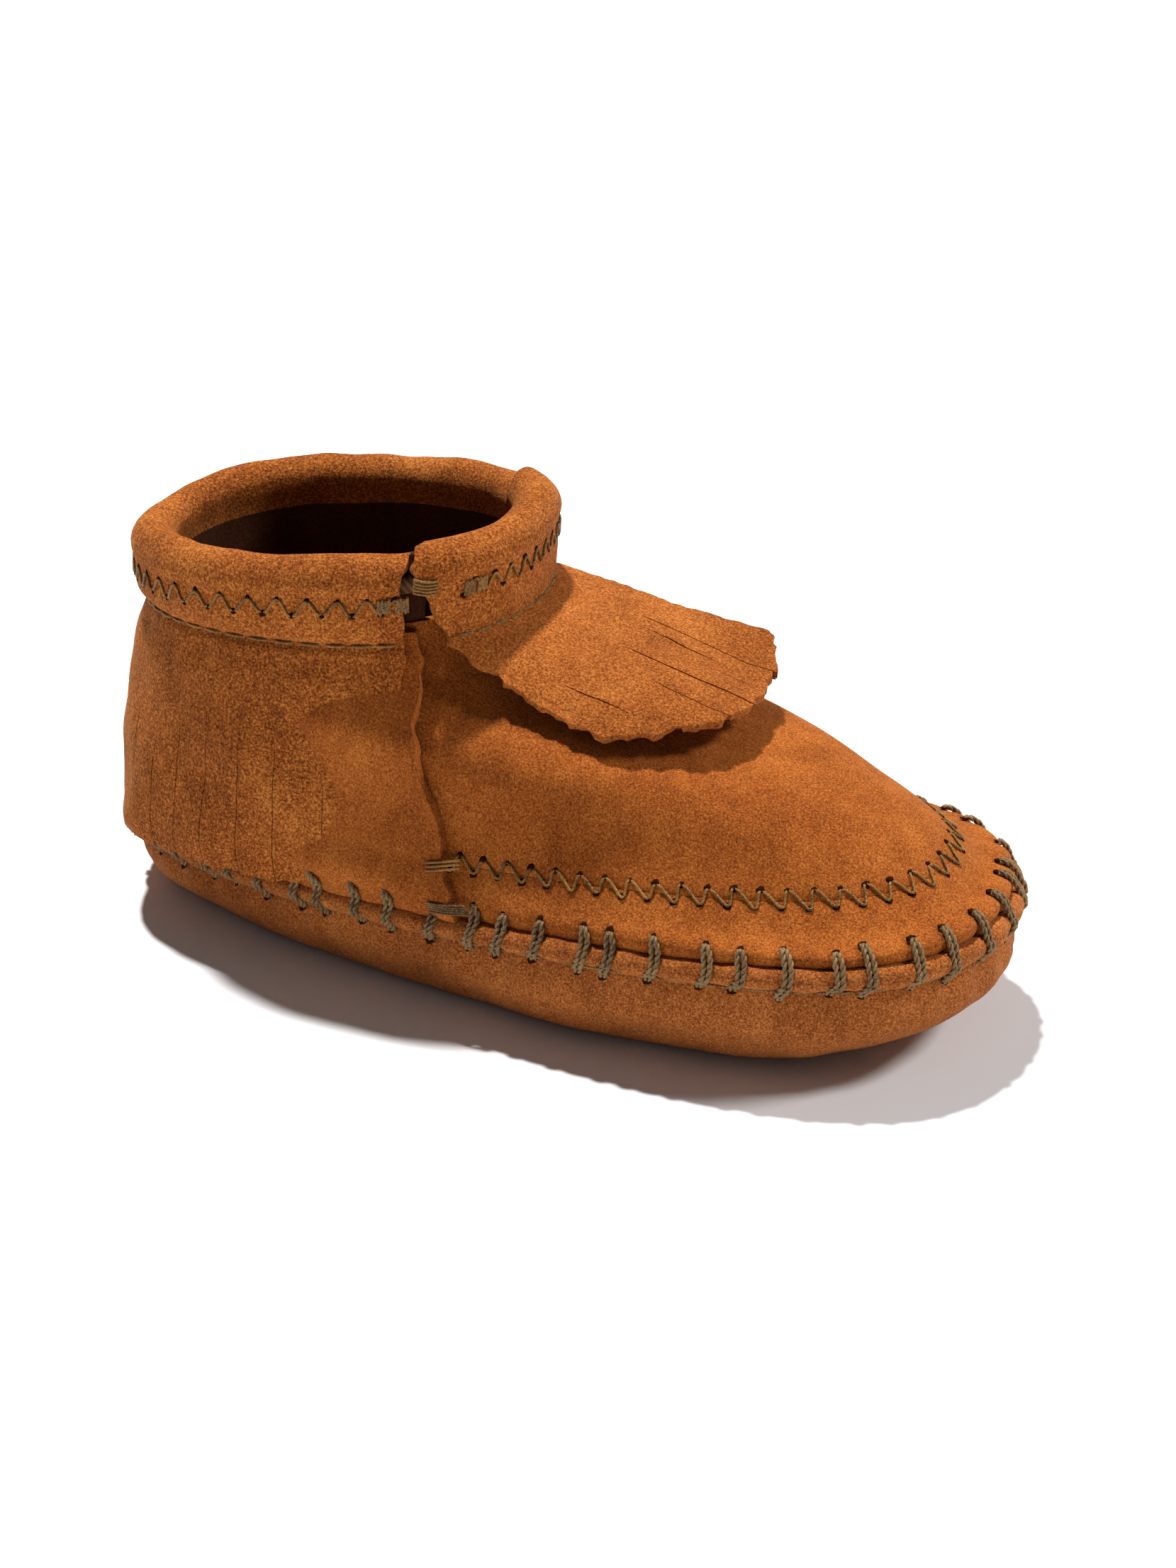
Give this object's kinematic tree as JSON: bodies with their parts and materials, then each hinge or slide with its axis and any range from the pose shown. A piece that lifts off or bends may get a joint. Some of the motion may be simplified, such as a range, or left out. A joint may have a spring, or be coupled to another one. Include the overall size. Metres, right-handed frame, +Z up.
{
  "type": "moccasin bootie",
  "caption": "Infant's soft-soled suede moccasin bootie with whipstitched bottom, rolled collar, slit fringe skirt at the heel and a fringe flap over the instep.",
  "frame": {"origin": "middle of the shoe's bounding box, on the surface it stands on", "axes": "+X towards the toe, +Z up, +Y towards the wearer's left"},
  "size_m": [0.1298, 0.058, 0.0597],
  "materials": {
    "suede_upper": "warm orange-brown suede, fine nap",
    "suede_bottom": "orange-brown suede, slightly rougher nap",
    "suede_fringe": "orange-brown suede with raw cut edges",
    "sock_suede": "thin split suede",
    "insole_foam": "soft foam",
    "collar_cord": "woven elastic cord",
    "whip_thread": "thick twisted waxed thread, grey brown",
    "fine_thread": "fine brown and gold sewing thread"
  },
  "bodies": {
    "shoe": {"bottom": "suede_bottom", "welt_bead": "suede_bottom", "toe_band": "suede_upper", "vamp": "suede_upper", "quarter": "suede_upper", "back_cuff": "suede_upper", "front_cuff": "suede_upper", "back_cuff_cord": "collar_cord", "front_cuff_cord": "collar_cord", "back_fringe": "suede_fringe", "insole_foam": "insole_foam", "insole_sock": "sock_suede", "front_fringe_strip": "suede_fringe", "whipstitch_thread": "whip_thread", "vamp_zigzag_thread": "fine_thread", "back_cuff_zigzag_thread": "fine_thread", "front_cuff_zigzag_thread": "fine_thread", "back_cuff_seam_thread": "fine_thread", "front_cuff_seam_thread": "fine_thread", "welt_seam_thread": "fine_thread", "side_seam_thread_left": "fine_thread", "side_seam_thread_right": "fine_thread", "cuff_tack_left": "fine_thread", "cuff_tack_right": "fine_thread", "bead_tack_left": "fine_thread", "bead_tack_right": "fine_thread"},
    "fringe_flap": {"front_fringe": "suede_fringe"}
  },
  "joints": [
    {"name": "fringe_lift", "type": "hinge", "parent": "shoe", "child": "fringe_flap", "pos_m": [-0.0008, 0, 0.0484], "axis": [0, -1, 0], "range_deg": [-6, 55], "stiffness_Nm_per_rad": 0.006}
  ]
}
